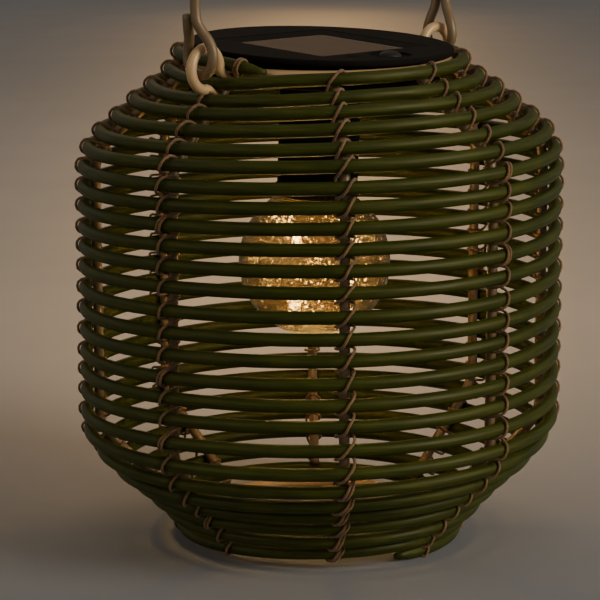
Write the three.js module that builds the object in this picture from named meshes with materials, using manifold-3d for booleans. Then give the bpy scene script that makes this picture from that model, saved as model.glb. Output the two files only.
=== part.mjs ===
// Solar cane lantern: a round cane wound round a wire cage, with a wire bail handle and a
// lift-out solar lamp that hangs its globe bulb inside the cage.
// Millimetres. +Z is up and the front is -Y. The origin is on the ground, under the cage axis.
// Azimuth is measured from the front and is positive towards +X.

import * as THREE from 'three';
import { mergeVertices } from 'three/addons/utils/BufferGeometryUtils.js';
import Module from 'manifold-3d';

const wasm = await Module();
wasm.setup();

// ---------- driving dimensions ----------
const GAP = 0.3;                      // air between pieces that touch on the real thing

// cane
const CANE_R = 3.15;                  // half width over the corners of the six-sided section
const CANE_SIDES = 6;
const FIRST_TURN = 0.06;              // the winding starts just left of the front
const LAST_TURN = 26.91;              // and ends right of the front
const TURN_NODES = 27;
const PITCH_WOBBLE = 0.35;            // the hand winding is a little uneven
const GROUND_Z = CANE_R * Math.cos(Math.PI / 6);   // centre height of cane lying on the ground

// profile of the winding: turn number, radius, height
const PROFILE = [
  [0.06, 68.3, 238.6],
  [0.115, 68.0, 242.2],
  [0.25, 68.8, 243.4],
  [0.50, 69.8, 242.0],
  [0.63, 68.7, 242.2],
  [0.78, 70.0, 239.2],
  [1.00, 71.6, 236.3],
  [2.00, 79.7, 229.8],
  [3.00, 88.1, 223.0],
  [4.00, 97.0, 216.0],
  [5.00, 106.0, 208.5],
  [6.00, 113.0, 200.5],
  [7.00, 116.3, 191.5],
  [8.00, 116.5, 182.5],
  [20.0, 116.5, 58.5],
  [21.0, 111.0, 49.2],
  [22.0, 102.5, 41.0],
  [23.0, 93.6, 32.6],
  [24.0, 85.2, 24.4],
  [25.0, 77.2, 16.2],
  [26.0, 70.2, 8.6],
  [26.3, 68.6, GROUND_Z],
  [26.91, 68.6, GROUND_Z],
];
// how far the winding climbs towards the right: turn number, height
const SLANT = [[1.5, 0], [6, 3.0], [19, 3.6], [25, 0]];
// how far the front left of the winding rides up: turn number, height
const RISE = [
  [5, 0], [7, 1.6], [8, 2.0], [9, 2.3], [10, 4.0], [11, 4.2], [12, 3.9], [13, 4.4],
  [14, 4.2], [16, 3.8], [19, 3.6], [20, 2.0], [21, 1.1], [22, 0],
];
// and the share of it round the front left: azimuth, share
const RISE_SHARE = [[-115, 0], [-90, 0.25], [-70, 0.6], [-50, 1.05], [-20, 1.05], [0, 0.75], [14, 0.28], [30, 0]];

// wire cage
const WIRE_R = 2.6;                   // 5 mm wire
const TOP_RING_R = 62.5;
const TOP_RING_Z = 239.3;
const TOP_RING_TILT = 1.9;            // degrees that the ring sits low at the front
const BASE_RING_R = 62.0;
const BASE_RING_Z = 7.6;
const RING_STEPS = 40;
const RIB_INSET = 6.1;                // rib centre, inside the centre of the cane
const RIB_AZ = [6, 47, 90, 132.5, 182, 228, 273, 322];
const RIB_AZ_TOP = [6, 47, 90, 135, 182, 228, 273, 320.5];
const RIB_NAMES = ['front', 'front_right', 'right', 'rear_right', 'rear', 'rear_left', 'left', 'front_left'];
const LOOP_RIBS = { 3: 1.625, 7: 1.1097 };   // rib number: the turn that runs through its handle loop

// handle loops and bail
const LOOP_R = 9.7;                   // centre line of the eye of a loop
const LOOP_OUT = 11.0;                // eye centre, outside the cane that runs through the loop
const LOOP_LEG = 5.9;                 // half the width between the two legs of a loop
const BAIL_R = 2.4;
const EYE_HALF = 8.2;                 // half width of the teardrop eye
const EYE_DROP = 4.0;
const EYE_OUT = 3.0;                  // the eyes bear on the outer side of the handle loops
const LEG_OUT = 6.2;                  // and the legs above them spread a little more
const EYE_TWIST = 0.2;                // sideways shift of the eyes, opposite ways at the two ends
const EYE_CLOSE = 10;
const CUT_END = 15.5;
const BAIL_HEIGHT = 202;              // top of the arch above the hinge

// lamp
const LAMP_CENTRE = [1.2, 0, 247.3];
const LEAN_FRONT = 2.3;               // degrees that the lamp sits low at the front
const LEAN_RIGHT = 1.9;               // and at the right
const COVER_R = 64.6;
const LIP_T = 2.9;
const BODY_R = 57.3;
const PLATE_T = 4.6;
const BEZEL = 75;                     // outer square of the sunk solar panel
const PANEL = 57.8;
const BEZEL_DEPTH = 1.3;
const PANEL_DEPTH = 3.4;
const BUTTON_R = 5.5;
const BUTTON_AT = 48.5;
const BUTTON_AZ = 42;
const BUTTON_WELL_R = 9.8;
const BASE_DEPTH = 16;
const WALL = 1.8;
const NECK_R = 20;
const NECK_END = 70.5;
const COLLAR_H = 4.9;
const GLOBE_R = 38;
const GLOBE_Z = -109.5;
const GLOBE_WALL = 1.2;
const GLOBE_NECK_R = 17.2;

// ---------- materials ----------
const mat = (name, color, metalness, roughness, extra = {}) => {
  const m = new THREE.MeshStandardMaterial({ color, metalness, roughness, ...extra });
  m.name = name;
  return m;
};
const CANE = mat('cane', 0x5c6a2a, 0, 0.45);
const WIRE = mat('wire', 0xd9c9a3, 0.1, 0.45);
const TWINE = mat('twine', 0x7a5434, 0, 0.9);
const SHELL = mat('shell', 0x26221f, 0, 0.6);
const CELL = mat('cell', 0x14161d, 0.2, 0.3);
const WINDOW = mat('window', 0xb8bcc0, 0, 0.05, { transparent: true, opacity: 0.25 });
const RUBBER = mat('rubber', 0x1c1a19, 0, 0.7);
const BOARD = mat('board', 0x1f5a33, 0, 0.5);
const CELLCAN = mat('battery', 0x3a6ea5, 0, 0.4);
const GLOBE = mat('globe', 0xf0a040, 0, 0.08, { transparent: true, opacity: 0.35 });
const LED = mat('led', 0xc07a3a, 0.6, 0.4);

const group = new THREE.Group();
group.name = 'solar_cane_lantern';

// ---------- small helpers ----------
const rad = (deg) => deg * Math.PI / 180;
const V = (x, y, z) => new THREE.Vector3(x, y, z);
const Z = V(0, 0, 1);
const radial = (az) => V(Math.sin(rad(az)), -Math.cos(rad(az)), 0);
const tangential = (az) => V(Math.cos(rad(az)), Math.sin(rad(az)), 0);

function table(rows, x, column) {
  if (x <= rows[0][0]) return rows[0][column];
  for (let i = 1; i < rows.length; i++) {
    if (x <= rows[i][0]) {
      const k = (x - rows[i - 1][0]) / (rows[i][0] - rows[i - 1][0]);
      return rows[i - 1][column] + k * (rows[i][column] - rows[i - 1][column]);
    }
  }
  return rows[rows.length - 1][column];
}

// Shared vertices joined and empty triangles left out.
function joined(geometry) {
  const bare = geometry.clone();
  bare.deleteAttribute('normal');
  bare.deleteAttribute('uv');
  const merged = mergeVertices(bare, 1e-4);
  const corners = merged.index.array;
  const kept = [];
  for (let i = 0; i < corners.length; i += 3) {
    const [a, b, c] = [corners[i], corners[i + 1], corners[i + 2]];
    if (a !== b && b !== c && c !== a) kept.push(a, b, c);
  }
  merged.setIndex(kept);
  return merged;
}

function addMesh(name, geometry, material) {
  const merged = joined(geometry);
  merged.computeVertexNormals();
  const mesh = new THREE.Mesh(merged, material);
  mesh.name = name;
  group.add(mesh);
  return mesh;
}

// A route through set points that carries the two axes of the section at each of them.
class Route extends THREE.Curve {
  constructor(points, tangents, normals, binormals) {
    super();
    Object.assign(this, { points, tangents, normals, binormals });
  }

  getPoint(t, target = V(0, 0, 0)) {
    const x = t * (this.points.length - 1);
    const i = Math.min(this.points.length - 2, Math.floor(x));
    return target.copy(this.points[i]).lerp(this.points[i + 1], x - i);
  }

  getSpacedPoints() {
    return this.points;
  }

  computeFrenetFrames() {
    return { tangents: this.tangents, normals: this.normals, binormals: this.binormals };
  }
}

// A section extruded along points. outwards[i] is roughly the direction of its x axis at point i.
function sweep(points, outwards, section, tangents = null, scale = () => 1) {
  const n = points.length;
  const alongs = [];
  const normals = [];
  const binormals = [];
  for (let i = 0; i < n; i++) {
    const before = points[Math.max(0, i - 1)];
    const after = points[Math.min(n - 1, i + 1)];
    const along = tangents ? tangents[i].clone() : after.clone().sub(before).normalize();
    const out = outwards[i].clone().addScaledVector(along, -outwards[i].dot(along)).normalize();
    alongs.push(along);
    normals.push(out.clone().multiplyScalar(scale(i)));
    binormals.push(along.clone().cross(out).multiplyScalar(scale(i)));
  }
  const route = new Route(points, alongs, normals, binormals);
  return new THREE.ExtrudeGeometry(section, { steps: n - 1, bevelEnabled: false, extrudePath: route });
}

function round(radius, sides) {
  const corners = [];
  for (let j = 0; j < sides; j++) {
    const a = 2 * Math.PI * j / sides;
    corners.push(new THREE.Vector2(radius * Math.cos(a), radius * Math.sin(a)));
  }
  return new THREE.Shape(corners);
}

// Parallel-transported frames for a wire that bends in more than one plane.
function transported(points, first) {
  const outs = [first.clone()];
  for (let i = 1; i < points.length; i++) {
    const along = points[Math.min(points.length - 1, i + 1)].clone().sub(points[i - 1]).normalize();
    const out = outs[i - 1].clone();
    outs.push(out.addScaledVector(along, -out.dot(along)).normalize());
  }
  return outs;
}

// ---------- the winding ----------
// The turn number grows as the cane goes round from the front to the left, the rear and the right.
const azimuthOf = (turn) => -360 * turn;
const cos2 = (x) => (Math.abs(x) < 1 ? Math.cos(x * Math.PI / 2) ** 2 : 0);
const awayFrom = (az, from) => {
  const d = (((az - from) % 360) + 540) % 360 - 180;
  return d;
};

// How far the two handle loops push the cane along the profile: turn number, shift outwards.
const PUSH_LEFT = [[0.7, 0], [1.11, 4.1], [2.11, 5.7], [3.11, 3.2], [4.11, 1.5], [5.11, 0.5], [6, 0]];
const PUSH_RIGHT = [[1.0, 0], [1.625, -0.6], [2.625, 1.9], [3.6, 0.8], [4.6, 0]];

function plainPoint(turn) {
  const az = azimuthOf(turn);
  const wobble = turn > 1.8 && turn < 25 ? PITCH_WOBBLE * (Math.sin(turn * 5.3) + Math.sin(turn * 2.17 + 1)) : 0;
  const slant = table(SLANT, turn, 1) * Math.sin(rad(az));
  const rise = table(RISE, turn, 1) * table(RISE_SHARE, awayFrom(az, 0), 1);
  return [table(PROFILE, turn, 1), table(PROFILE, turn, 2) + slant + rise + wobble];
}

function canePlace(turn) {
  const az = azimuthOf(turn);
  const [r0, z0] = plainPoint(turn);
  const left = table(PUSH_LEFT, turn, 1) * cos2(awayFrom(az, RIB_AZ_TOP[7]) / 40);
  const right = table(PUSH_RIGHT, turn, 1) * cos2(awayFrom(az, RIB_AZ_TOP[3]) / 40);
  const push = left + right;
  return [r0 + 0.77 * push, z0 - 0.64 * push];
}

function canePoint(turn) {
  const [r, z] = canePlace(turn);
  return radial(azimuthOf(turn)).multiplyScalar(r).addScaledVector(Z, z);
}

function caneTangent(turn) {
  return canePoint(turn + 0.004).sub(canePoint(turn - 0.004)).normalize();
}

// Rib azimuth at a turn: the two ribs with handle loops lean a little in the shoulder.
function ribAzimuth(rib, turn) {
  const k = Math.min(1, Math.max(0, (turn - 1.5) / 5));
  return RIB_AZ_TOP[rib] + k * (RIB_AZ[rib] - RIB_AZ_TOP[rib]);
}

// Every place where the cane crosses a rib, in order along the cane.
const crossings = [];
for (let n = 0; n <= 27; n++) {
  for (let rib = 0; rib < 8; rib++) {
    const turn = n + 1 - ribAzimuth(rib, n + 1) / 360;
    if (turn > FIRST_TURN + 0.01 && turn < LAST_TURN - 0.01) crossings.push({ rib, turn });
  }
}
crossings.sort((a, b) => a.turn - b.turn);

function caneTurn(number, start, end) {
  const turns = [start];
  for (const c of crossings) {
    if (c.turn > start + 0.01 && c.turn < end - 0.01) turns.push(c.turn);
  }
  turns.push(end);
  const all = [turns[0]];
  for (let i = 1; i < turns.length; i++) {
    if (turns[i] - turns[i - 1] > 0.08) all.push((turns[i - 1] + turns[i]) / 2);
    all.push(turns[i]);
  }
  if (number === 1) all.splice(1, 0, FIRST_TURN + 0.022);
  if (number === TURN_NODES) all.splice(all.length - 1, 0, LAST_TURN - 0.022);
  const points = all.map(canePoint);
  const tangents = all.map(caneTangent);
  const outs = all.map((t) => radial(azimuthOf(t)));
  const size = (i) => {
    const tip = (number === 1 && i === 0) || (number === TURN_NODES && i === all.length - 1);
    return tip ? 0.45 : 1;
  };
  return sweep(points, outs, round(CANE_R, CANE_SIDES), tangents, size);
}

const joints = crossings.filter((c) => c.rib === 7 && c.turn > 0.5).map((c) => c.turn);
const limits = [FIRST_TURN, ...joints, LAST_TURN];
for (let i = 0; i < TURN_NODES; i++) {
  const [r0] = canePlace(limits[i]);
  const half = GAP / 2 / (2 * Math.PI * r0);
  const start = i === 0 ? limits[0] : limits[i] + half;
  const end = i === TURN_NODES - 1 ? limits[i + 1] : limits[i + 1] - half;
  addMesh(`cane_turn_${String(i + 1).padStart(2, '0')}`, caneTurn(i + 1, start, end), CANE);
}

// ---------- wire cage ----------
function ring(radius, height, tilt = 0) {
  return new THREE.TorusGeometry(radius, WIRE_R, 6, RING_STEPS).rotateX(rad(tilt)).translate(0, 0, height);
}
const topRingZ = (az) => TOP_RING_Z - TOP_RING_R * Math.sin(rad(TOP_RING_TILT)) * Math.cos(rad(az));
addMesh('frame_top_ring', ring(TOP_RING_R, TOP_RING_Z, TOP_RING_TILT), WIRE);
addMesh('frame_base_ring', ring(BASE_RING_R, BASE_RING_Z), WIRE);

// Radius and height at a distance outside the cane, square to the profile.
function beside(turn, out) {
  const [r, z] = canePlace(turn);
  const [ra, za] = canePlace(Math.max(turn - 1, 0.7));
  const [rb, zb] = canePlace(Math.min(turn + 1, LAST_TURN));
  const length = Math.hypot(rb - ra, zb - za);
  const dr = (rb - ra) / length;
  const dz = (zb - za) / length;
  return [r - dz * out, z + dr * out];
}

function ribCrossings(rib, from, to) {
  return crossings.filter((c) => c.rib === rib && c.turn >= from && c.turn <= to).map((c) => c.turn);
}

const inWall = (turn) => turn > 8.2 && turn < 18.8;
const ribPaths = [];
for (let rib = 0; rib < 8; rib++) {
  const turns = ribCrossings(rib, 0.8, 25.95).filter((t, i) => !inWall(t) || i % 4 === 0);
  const places = turns.map((t) => ({ az: ribAzimuth(rib, t), rz: beside(t, -RIB_INSET) }));
  const [r1, z1] = places[0].rz;
  const ringZ = topRingZ(places[0].az);
  const reach = Math.hypot(r1 - TOP_RING_R, z1 - ringZ);
  const k = (WIRE_R + GAP + 0.1) / reach;
  places.unshift({
    az: places[0].az,
    rz: [TOP_RING_R + k * (r1 - TOP_RING_R), ringZ + k * (z1 - ringZ)],
  });
  const points = places.map((p) => radial(p.az).multiplyScalar(p.rz[0]).addScaledVector(Z, p.rz[1]));
  ribPaths.push(points);
  const outs = places.map((p) => tangential(p.az));
  addMesh(`rib_${RIB_NAMES[rib]}`, sweep(points, outs, round(WIRE_R, 6)), WIRE);
}

function distanceToPath(point, path) {
  let best = Infinity;
  for (let i = 1; i < path.length; i++) {
    const line = new THREE.Line3(path[i - 1], path[i]);
    best = Math.min(best, line.closestPointToPoint(point, true, V(0, 0, 0)).distanceTo(point));
  }
  return best;
}

// ---------- handle loops ----------
// An eye with two short legs that pass above and below one cane and are welded to the rib behind it.
const loopTops = [];
for (const [key, turn] of Object.entries(LOOP_RIBS)) {
  const rib = Number(key);
  const az = RIB_AZ_TOP[rib];
  const [r, z] = canePlace(turn);
  const out = [0.72, 0.694];
  const up = [-0.694, 0.72];
  const at = (u, v) => radial(az)
    .multiplyScalar(r + u * out[0] + v * up[0])
    .addScaledVector(Z, z + u * out[1] + v * up[1]);
  const meet = LOOP_OUT - Math.sqrt(LOOP_R ** 2 - LOOP_LEG ** 2);
  const legEnd = (side) => {
    let u = -5;
    while (distanceToPath(at(u, side * LOOP_LEG), ribPaths[rib]) < WIRE_R + GAP + 0.1) u += 0.05;
    return u;
  };
  const points = [at(legEnd(1), LOOP_LEG), at(meet - 0.9, LOOP_LEG)];
  const half = Math.PI - Math.asin(LOOP_LEG / LOOP_R);
  const steps = 18;
  for (let i = 0; i <= steps; i++) {
    const a = half - 2 * half * i / steps;
    points.push(at(LOOP_OUT + LOOP_R * Math.cos(a), LOOP_R * Math.sin(a)));
  }
  points.push(at(meet - 0.9, -LOOP_LEG), at(legEnd(-1), -LOOP_LEG));
  const outs = points.map(() => tangential(az));
  addMesh(rib === 3 ? 'handle_loop_right' : 'handle_loop_left', sweep(points, outs, round(WIRE_R, 8)), WIRE);
  const centre = at(LOOP_OUT, 0);
  loopTops.push(centre.addScaledVector(Z, LOOP_R));
}
const hingeRight = loopTops[0];
const hingeLeft = loopTops[1];

// ---------- bail ----------
const hingeAxis = hingeRight.clone().sub(hingeLeft).setZ(0).normalize();
const hingeSpan = hingeRight.clone().sub(hingeLeft).setZ(0).length();
const hingeZ = (hingeRight.z + hingeLeft.z) / 2;
const bailSide = Z.clone().cross(hingeAxis);      // points to the rear left
const hingeMid = hingeLeft.clone().add(hingeRight).multiplyScalar(0.5).setZ(hingeZ);
function bailPoint(along, sideways, height) {
  return hingeMid.clone()
    .addScaledVector(hingeAxis, along)
    .addScaledVector(bailSide, sideways)
    .addScaledVector(Z, height);
}
{
  const half = hingeSpan / 2 + LEG_OUT;
  const eye = [[5.1, CUT_END], [5.5, EYE_CLOSE], [6.9, 3.5], [EYE_HALF - 0.1, -1.5], [EYE_HALF, -EYE_DROP]];
  for (let i = 1; i < 8; i++) {
    const a = Math.PI * i / 8;
    eye.push([EYE_HALF * Math.cos(a), -EYE_DROP - EYE_HALF * Math.sin(a)]);
  }
  eye.push([-EYE_HALF, -EYE_DROP], [-EYE_HALF + 0.3, -1.0], [-6.2, 3.5], [-3.1, 8.0], [-0.9, 12.5], [-0.1, 18]);
  const eyeAlong = (h) => hingeSpan / 2 + EYE_OUT + (LEG_OUT - EYE_OUT) * Math.min(1, Math.max(0, (h - 2) / 10));
  const points = eye.map(([w, h]) => bailPoint(-eyeAlong(h), w + EYE_TWIST, h));
  points.push(bailPoint(-half, 0, 32));
  const corner = half - 4;
  const legTop = BAIL_HEIGHT - corner;
  points.push(bailPoint(-half, 0, legTop * 0.6));
  for (let i = 0; i <= 16; i++) {
    const a = Math.PI * i / 16;
    points.push(bailPoint(-half * Math.cos(a), 0, legTop + corner * Math.sin(a)));
  }
  points.push(bailPoint(half, 0, legTop * 0.6), bailPoint(half, 0, 32));
  points.push(...eye.slice().reverse().map(([w, h]) => bailPoint(eyeAlong(h), w - EYE_TWIST, h)));
  addMesh('bail_handle', sweep(points, transported(points, hingeAxis), round(BAIL_R + 0.1, 8)), WIRE);
}

// ---------- lashings ----------
// Each lashing is the row of strands over the cane at one rib, as one flat strip.
const STRIP_W = 2.4;
const STRIP_T = 0.75;
const strip = new THREE.Shape([
  new THREE.Vector2(STRIP_W, -STRIP_T),
  new THREE.Vector2(STRIP_W, STRIP_T),
  new THREE.Vector2(-STRIP_W, STRIP_T),
  new THREE.Vector2(-STRIP_W, -STRIP_T),
]);
for (let rib = 0; rib < 8; rib++) {
  const from = { 3: 3.0, 7: 2.0 }[rib] ?? 0.8;
  const turns = ribCrossings(rib, from, LAST_TURN).filter((t, i) => !inWall(t) || i % 4 === 0);
  const places = turns.map((t) => ({ az: ribAzimuth(rib, t), rz: beside(t, CANE_R + 0.25 + STRIP_T) }));
  const points = places.map((p) => radial(p.az).multiplyScalar(p.rz[0]).addScaledVector(Z, p.rz[1]));
  const outs = places.map((p) => tangential(p.az));
  addMesh(`lashing_${RIB_NAMES[rib]}`, sweep(points, outs, strip), TWINE);
}

// ---------- lamp ----------
// Built upright with its top face at z = 0, then leaned and set into the top ring.
const lean = new THREE.Matrix4().makeRotationX(rad(LEAN_FRONT));
lean.premultiply(new THREE.Matrix4().makeRotationY(rad(LEAN_RIGHT)));
lean.setPosition(...LAMP_CENTRE);

function asSolid(geometry) {
  const merged = joined(geometry);
  return new wasm.Manifold(new wasm.Mesh({
    numProp: 3,
    vertProperties: merged.attributes.position.array,
    triVerts: new Uint32Array(merged.index.array),
  }));
}

// An upright cylinder or cone between two heights, its axis at a point in plan.
function cylinder(r, z0, z1, segments = 32, rTop = r, at = V(0, 0, 0)) {
  const geometry = new THREE.CylinderGeometry(rTop, r, z1 - z0, segments);
  geometry.rotateX(Math.PI / 2).translate(at.x, at.y, (z0 + z1) / 2);
  return asSolid(geometry);
}

// A square plate that stands as a diamond, its corners on the X and Y axes.
function plate(size, z0, z1, top = size) {
  return cylinder(size * Math.SQRT1_2, z0, z1, 4, top * Math.SQRT1_2);
}

// A solid of revolution from radius and height rows that start and end on the axis.
function lathe(rows, segments, at = V(0, 0, 0)) {
  const profile = rows.map(([r, z]) => new THREE.Vector2(r, z));
  const geometry = new THREE.LatheGeometry(profile, segments);
  geometry.rotateX(Math.PI / 2).translate(at.x, at.y, 0);
  return asSolid(geometry);
}

function fromManifold(solid) {
  const mesh = solid.getMesh();
  const geometry = new THREE.BufferGeometry();
  const positions = new Float32Array(mesh.numVert * 3);
  for (let i = 0; i < mesh.numVert; i++) {
    for (let k = 0; k < 3; k++) positions[3 * i + k] = mesh.vertProperties[i * mesh.numProp + k];
  }
  geometry.setAttribute('position', new THREE.BufferAttribute(positions, 3));
  geometry.setIndex(Array.from(mesh.triVerts));
  return geometry;
}

function addLampPiece(name, solid, material) {
  const geometry = solid instanceof THREE.BufferGeometry ? solid : fromManifold(solid);
  geometry.applyMatrix4(lean);
  addMesh(name, geometry, material);
}

const buttonAt = radial(BUTTON_AZ).multiplyScalar(BUTTON_AT);

const cover = cylinder(COVER_R, -LIP_T, -0.5, 48)
  .add(cylinder(COVER_R, -0.5, 0, 48, COVER_R - 0.6))
  .add(cylinder(BODY_R, -PLATE_T, -LIP_T + 0.1, 48))
  .subtract(plate(BEZEL - 4.5, -BEZEL_DEPTH, 0.01, BEZEL))
  .subtract(plate(PANEL, -PANEL_DEPTH, 0.01))
  .subtract(cylinder(BUTTON_WELL_R, -1.0, 0.01, 24, BUTTON_WELL_R, buttonAt))
  .subtract(cylinder(BUTTON_R + GAP, -PLATE_T - 1, 0.01, 24, BUTTON_R + GAP, buttonAt));
addLampPiece('lamp_cover', cover, SHELL);

addLampPiece('solar_cell', plate(PANEL - 1, -PANEL_DEPTH + 0.2, -PANEL_DEPTH + 0.9), CELL);
addLampPiece('panel_window', plate(PANEL - 0.6, -PANEL_DEPTH + 1.1, -BEZEL_DEPTH - 0.1), WINDOW);

const dome = [];
const BUTTON_FOOT = -6.2;
dome.push([0, BUTTON_FOOT], [BUTTON_R, BUTTON_FOOT]);
for (let i = 0; i <= 5; i++) {
  const a = (Math.PI / 2) * i / 5;
  dome.push([BUTTON_R * Math.cos(a), -0.9 + 2.6 * Math.sin(a)]);
}
dome[dome.length - 1][0] = 0;
addLampPiece('switch_button', lathe(dome, 20, buttonAt), RUBBER);

const BOARD_TOP = -11.6;
const tactBody = new THREE.BoxGeometry(6, 6, 2.4).translate(buttonAt.x, buttonAt.y, BOARD_TOP + GAP + 1.2);
const tact = asSolid(tactBody).add(cylinder(1.7, BOARD_TOP + 2, -8.1, 12, 1.7, buttonAt));
addLampPiece('tact_switch', tact, SHELL);

const board = cylinder(54.5, BOARD_TOP - 1.6, BOARD_TOP, 40).subtract(cylinder(2, -20, 0, 12));
addLampPiece('circuit_board', board, BOARD);

const base = cylinder(BODY_R, -BASE_DEPTH, -PLATE_T - GAP, 48)
  .subtract(cylinder(BODY_R - WALL, -BASE_DEPTH + WALL, 0, 48))
  .subtract(cylinder(NECK_R - 3, -BASE_DEPTH - 1, 0, 32));
addLampPiece('lamp_base', base, SHELL);

const neck = cylinder(NECK_R, -NECK_END, -BASE_DEPTH - GAP, 32)
  .subtract(cylinder(NECK_R - WALL, -NECK_END + WALL, 0, 32))
  .subtract(cylinder(1.5, -NECK_END - 1, 0, 12));
addLampPiece('battery_housing', neck, SHELL);

addLampPiece('battery', cylinder(9, -66, -18.5, 20, 9, V(7.5, 0, 0)), CELLCAN);

const collar = cylinder(NECK_R + 1.5, -NECK_END - COLLAR_H, -NECK_END - GAP, 32)
  .subtract(cylinder(GLOBE_NECK_R + GAP, -NECK_END - 8, 0, 32));
addLampPiece('bulb_collar', collar, SHELL);

function globeProfile(r, neckR, top) {
  const rows = [];
  const start = Math.asin(neckR / r);
  for (let i = 0; i <= 12; i++) {
    const a = start + (Math.PI - start) * i / 12;
    rows.push([r * Math.sin(a), GLOBE_Z + r * Math.cos(a)]);
  }
  rows[12][0] = 0;
  return [...rows.reverse(), [neckR, top], [0, top]];
}
const GLOBE_TOP = -NECK_END - 0.6;
const globe = lathe(globeProfile(GLOBE_R, GLOBE_NECK_R, GLOBE_TOP), 28)
  .subtract(lathe(globeProfile(GLOBE_R - GLOBE_WALL, GLOBE_NECK_R - GLOBE_WALL, GLOBE_TOP + 1), 28));
addLampPiece('bulb_globe', globe, GLOBE);

{
  const points = [V(0, 0, -NECK_END - 1), V(0, 0, -NECK_END - 8)];
  const turns = 3.2;
  const steps = 44;
  for (let i = 0; i <= steps; i++) {
    const k = i / steps;
    const a = 2 * Math.PI * turns * k;
    const r = 5 + 21 * Math.sin(Math.PI * Math.min(1, 0.1 + 0.85 * k));
    points.push(V(r * Math.cos(a), r * Math.sin(a), -NECK_END - 14 - 54 * k));
  }
  addLampPiece('led_wire', sweep(points, transported(points, V(1, 0, 0)), round(0.6, 4)), LED);
}

export default group;
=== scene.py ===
import bmesh
import bpy
import math
import random
import numpy as np
from mathutils import Matrix, Vector, noise


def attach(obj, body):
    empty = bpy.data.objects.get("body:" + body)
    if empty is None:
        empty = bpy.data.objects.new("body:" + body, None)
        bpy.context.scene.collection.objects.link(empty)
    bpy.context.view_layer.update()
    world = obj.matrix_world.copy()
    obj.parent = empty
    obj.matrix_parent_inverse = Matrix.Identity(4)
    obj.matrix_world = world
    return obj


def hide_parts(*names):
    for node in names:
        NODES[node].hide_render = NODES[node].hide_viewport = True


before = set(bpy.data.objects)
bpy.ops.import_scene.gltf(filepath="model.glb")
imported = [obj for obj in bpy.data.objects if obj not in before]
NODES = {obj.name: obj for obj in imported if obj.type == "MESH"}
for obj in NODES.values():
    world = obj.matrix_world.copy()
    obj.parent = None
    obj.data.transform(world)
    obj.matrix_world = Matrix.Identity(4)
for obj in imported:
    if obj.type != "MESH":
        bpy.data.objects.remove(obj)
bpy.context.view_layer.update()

MM = 0.001

# ------------------------------------------------------------------ dimensions, in millimetres and degrees
# An azimuth is counted from the front to the right. The cane is wound the other way, from the top down,
# and a turn is counted from the front.
CANE_R, CANE_SIDES = 3.2, 16
FIRST_TURN, LAST_TURN = 0.06, 26.91
GROUND_Z = 3.22
# turn, radius and height of the middle of the cane
PROFILE = [
    (0.06, 68.3, 238.6), (0.115, 68.0, 242.2), (0.25, 68.8, 243.4), (0.50, 69.8, 242.0),
    (0.63, 68.7, 242.2), (0.78, 70.0, 239.2), (1.0, 71.6, 236.3), (2.0, 79.7, 229.8),
    (3.0, 88.1, 223.0), (4.0, 97.0, 216.0), (5.0, 106.0, 208.5), (6.0, 113.0, 200.5),
    (7.0, 116.3, 191.5), (8.0, 116.5, 182.5), (20.0, 116.5, 58.5), (21.0, 111.0, 49.2),
    (22.0, 102.5, 41.0), (23.0, 93.6, 32.6), (24.0, 85.2, 24.4), (25.0, 77.2, 16.2),
    (26.0, 70.2, 8.6), (26.3, 68.6, GROUND_Z), (26.91, 68.6, GROUND_Z),
]
# the right side of a turn is higher than its middle by this much, and the left side lower
SLANT = [(1.5, 0), (6, 3.0), (19, 3.6), (25, 0)]
# the front left of a turn rides up by this much, with a share of it at each azimuth
RISE = [
    (5, 0), (7, 1.6), (8, 2.0), (9, 2.3), (10, 4.0), (11, 4.2), (12, 3.9), (13, 4.4),
    (14, 4.2), (16, 3.8), (19, 3.6), (20, 2.0), (21, 1.1), (22, 0),
]
RISE_SHARE = [(-115, 0), (-90, 0.25), (-70, 0.6), (-50, 1.05), (-20, 1.05), (0, 0.75), (14, 0.28), (30, 0)]
# the two ribs with handle loops push a turn outwards and down
PUSH_LEFT = [(0.7, 0), (1.11, 4.1), (2.11, 5.7), (3.11, 3.2), (4.11, 1.5), (5.11, 0.5), (6, 0)]
PUSH_RIGHT = [(1.0, 0), (1.625, -0.6), (2.625, 1.9), (3.6, 0.8), (4.6, 0)]
PUSH_OUT, PUSH_DOWN, PUSH_SPREAD = 0.77, 0.64, 40
PITCH_WOBBLE, WOBBLE_TURNS = 0.35, (1.8, 25)
WIRE_R, WIRE_SIDES = 2.5, 16
TOP_RING_R, TOP_RING_Z, TOP_RING_TILT = 62.5, 239.3, 1.9
BASE_RING_R, BASE_RING_Z = 62.0, 7.6
RIB_INSET = 6.1
RIB_TURNS, WALL_TURNS = (0.8, 25.95), (8.2, 18.8)
RIB_NAMES = ["front", "front_right", "right", "rear_right", "rear", "rear_left", "left", "front_left"]
RIB_AZ = [6, 47, 90, 132.5, 182, 228, 273, 322]
RIB_AZ_TOP = [6, 47, 90, 135, 182, 228, 273, 320.5]
LEFT_LOOP_RIB, RIGHT_LOOP_RIB = 7, 3
LOOPS = {"handle_loop_left": (LEFT_LOOP_RIB, 1.1097), "handle_loop_right": (RIGHT_LOOP_RIB, 1.625)}
LOOP_R, LOOP_OUT, LOOP_LEG = 9.7, 11.0, 5.9
LAMP_CENTRE = (1.2, 0.0, 247.3)
LEAN_FRONT, LEAN_RIGHT = 2.3, 1.9
UP = np.array([0.0, 0.0, 1.0])


# ------------------------------------------------------------------ small helpers
def rad(a):
    return math.radians(a)


def radial(az):
    return np.array([math.sin(rad(az)), -math.cos(rad(az)), 0.0])


def tangential(az):
    return np.array([math.cos(rad(az)), math.sin(rad(az)), 0.0])


def table(rows, x, column=1):
    return float(np.interp(x, [r[0] for r in rows], [r[column] for r in rows]))


def cos2(x):
    return math.cos(x * math.pi / 2) ** 2 if abs(x) < 1 else 0.0


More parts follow.
